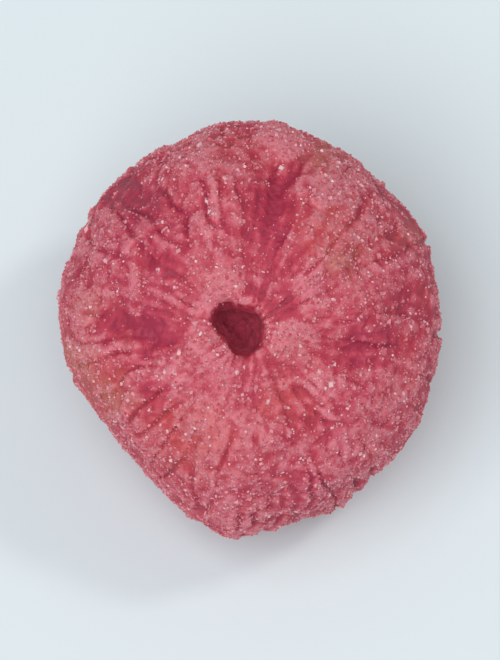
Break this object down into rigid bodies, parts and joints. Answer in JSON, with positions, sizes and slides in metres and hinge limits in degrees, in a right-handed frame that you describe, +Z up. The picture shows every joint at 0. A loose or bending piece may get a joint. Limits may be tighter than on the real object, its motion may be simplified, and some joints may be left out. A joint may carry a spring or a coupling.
{
  "type": "dried sour cherry",
  "caption": "Pitted, dried and sugar-dusted sour cherry, plump and softly folded around an open stalk hole, resting on a flattened side.",
  "frame": {"origin": "middle of the underside of the fruit's box, on the plane it rests on", "axes": "+Z up as it rests, +Y along its longest side; the stalk end leans 22 degrees from +Z towards -Y"},
  "size_m": [0.018, 0.019, 0.0156],
  "materials": {
    "cherry_skin": "leathery dried fruit skin, crimson in its folds and dusty rose where fine sugar has dried on",
    "sugar_crystals": "fine sugar crystals stained pink by cherry juice, slightly see-through"
  },
  "bodies": {
    "root": {"dried_cherry": "cherry_skin"}
  },
  "joints": []
}
